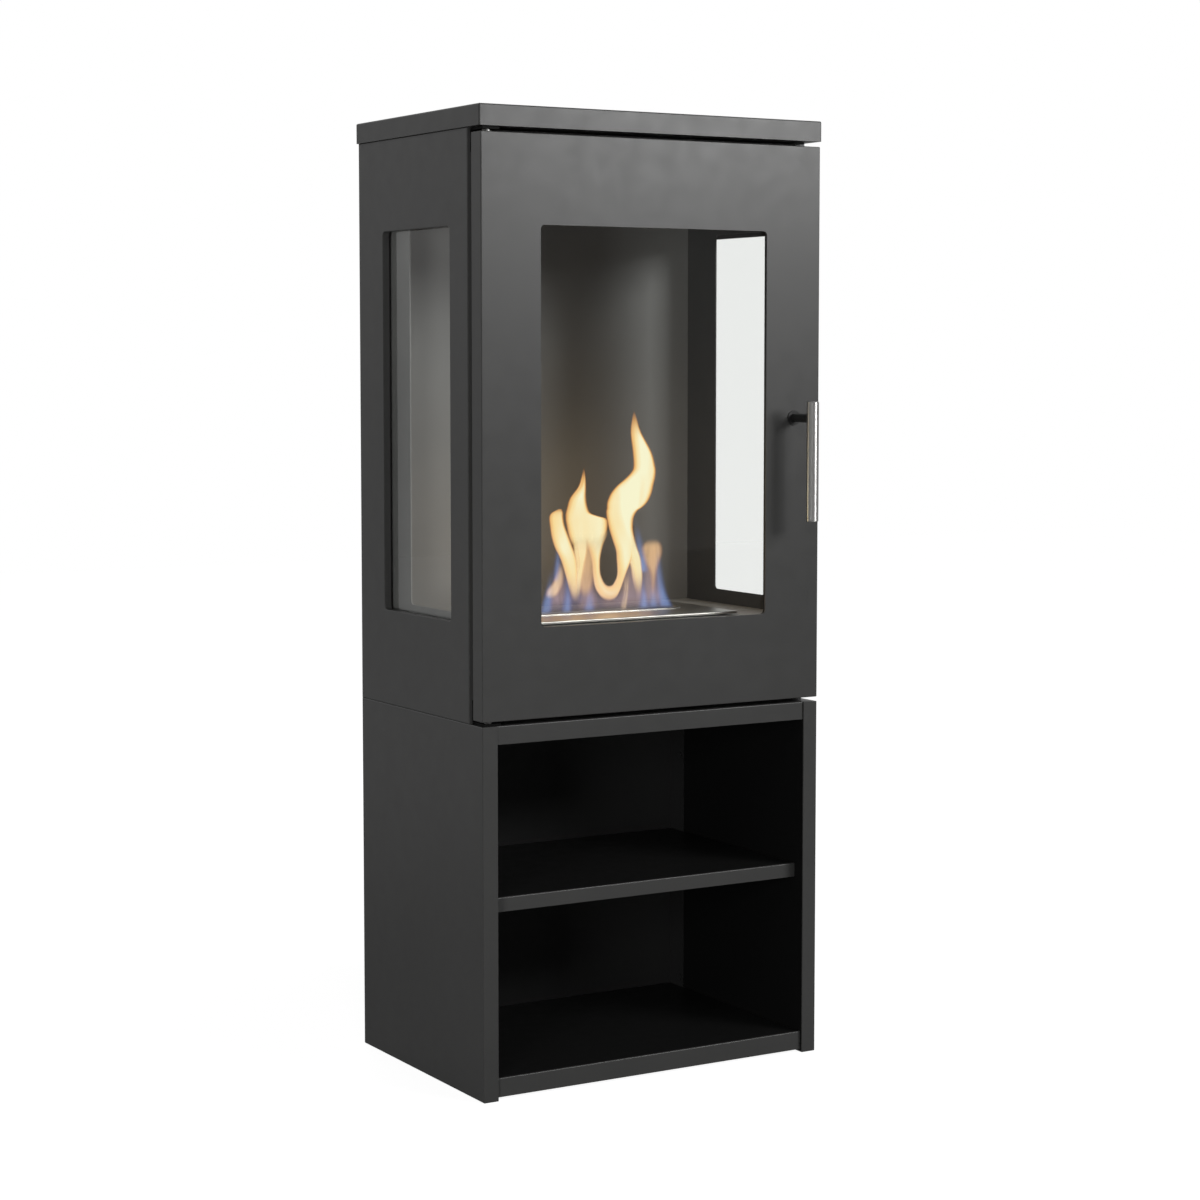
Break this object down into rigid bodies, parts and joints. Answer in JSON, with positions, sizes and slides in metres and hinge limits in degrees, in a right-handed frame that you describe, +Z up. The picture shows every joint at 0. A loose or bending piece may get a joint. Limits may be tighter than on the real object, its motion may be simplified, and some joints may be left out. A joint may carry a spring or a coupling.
{
  "type": "bioethanol fireplace",
  "caption": "Tall free-standing fireplace: glazed firebox with a hinged door, lever handle and drop-in burner, on an open shelf stand.",
  "frame": {"origin": "middle of the whole fireplace's footprint, handle and lid overhang included, on the floor", "axes": "+Z up; the door and handle face -Y; +X to the right as seen from the front"},
  "size_m": [0.444, 0.347, 1.08],
  "materials": {
    "coated_steel": "matt fine-grain powder coat, charcoal",
    "heat_paint": "matt heat-resistant paint, charcoal",
    "brushed_stainless": "brushed along its length",
    "black_steel": "blackened, satin",
    "bright_steel": "polished",
    "zinc_steel": "zinc plated",
    "black_fasteners": "black oxide",
    "bush_brass": "turned",
    "clear_glass": "clear toughened glass",
    "fibre_tape": "black woven heat-resistant tape",
    "ceramic_wool": "white felted wool"
  },
  "bodies": {
    "cabinet": {"base_right_side": "coated_steel", "base_left_side": "coated_steel", "base_right_liner": "coated_steel", "base_left_liner": "coated_steel", "base_top_panel": "coated_steel", "base_shelf": "coated_steel", "base_bottom_panel": "coated_steel", "base_back_panel": "coated_steel", "firebox_right_side": "coated_steel", "firebox_left_side": "coated_steel", "front_frame": "coated_steel", "rear_cover": "coated_steel", "lid": "coated_steel", "firebox_bottom_plate": "coated_steel", "firebox_top_plate": "coated_steel", "hinge_bracket_top": "coated_steel", "hinge_bracket_bottom": "coated_steel", "firebox_right_liner": "heat_paint", "firebox_left_liner": "heat_paint", "firebox_floor": "heat_paint", "floor_supports": "heat_paint", "firebox_inner_back": "heat_paint", "firebox_baffle": "heat_paint", "hinge_pins": "bright_steel", "hinge_washer_bottom": "bright_steel", "base_screws": "zinc_steel", "base_weld_nuts": "zinc_steel", "stack_bolts": "zinc_steel", "stack_nuts": "zinc_steel", "side_panel_screws": "zinc_steel", "lid_screws": "zinc_steel", "frame_screws": "zinc_steel", "hinge_bracket_screws": "zinc_steel", "base_back_screws": "black_fasteners", "rear_cover_screws": "black_fasteners", "right_side_glass": "clear_glass", "left_side_glass": "clear_glass", "side_glass_gaskets": "fibre_tape"},
    "door": {"door_panel": "coated_steel", "door_gasket": "fibre_tape", "door_glass": "clear_glass", "door_inner_frame": "heat_paint", "glass_clips": "zinc_steel", "clip_nuts": "zinc_steel", "door_frame_screws": "black_fasteners", "hinge_bushes": "bush_brass", "hinge_washer_top": "bright_steel", "spindle_bush": "black_steel"},
    "handle": {"handle_bar": "brushed_stainless", "handle_spindle": "black_steel", "spindle_clip": "zinc_steel", "latch_tongue": "zinc_steel", "spindle_nut": "zinc_steel"},
    "burner": {"burner_plate": "brushed_stainless", "burner_tank": "brushed_stainless", "burner_fibre": "ceramic_wool", "shutter_guides": "brushed_stainless"},
    "shutter": {"shutter_plate": "brushed_stainless", "shutter_knob": "brushed_stainless"}
  },
  "joints": [
    {"name": "door_hinge", "type": "hinge", "parent": "cabinet", "child": "door", "pos_m": [-0.208, -0.1185, 0.7345], "axis": [0, 0, -1], "range_deg": [0, 110]},
    {"name": "handle_turn", "type": "hinge", "parent": "door", "child": "handle", "pos_m": [0.185, -0.1285, 0.742], "axis": [0, -1, 0], "range_deg": [0, 60]},
    {"name": "burner_lift", "type": "slide", "parent": "cabinet", "child": "burner", "axis": [0, 0, 1], "range_m": [0, 0.1]},
    {"name": "shutter_slide", "type": "slide", "parent": "burner", "child": "shutter", "axis": [0, -1, 0], "range_m": [0, 0.024]}
  ]
}
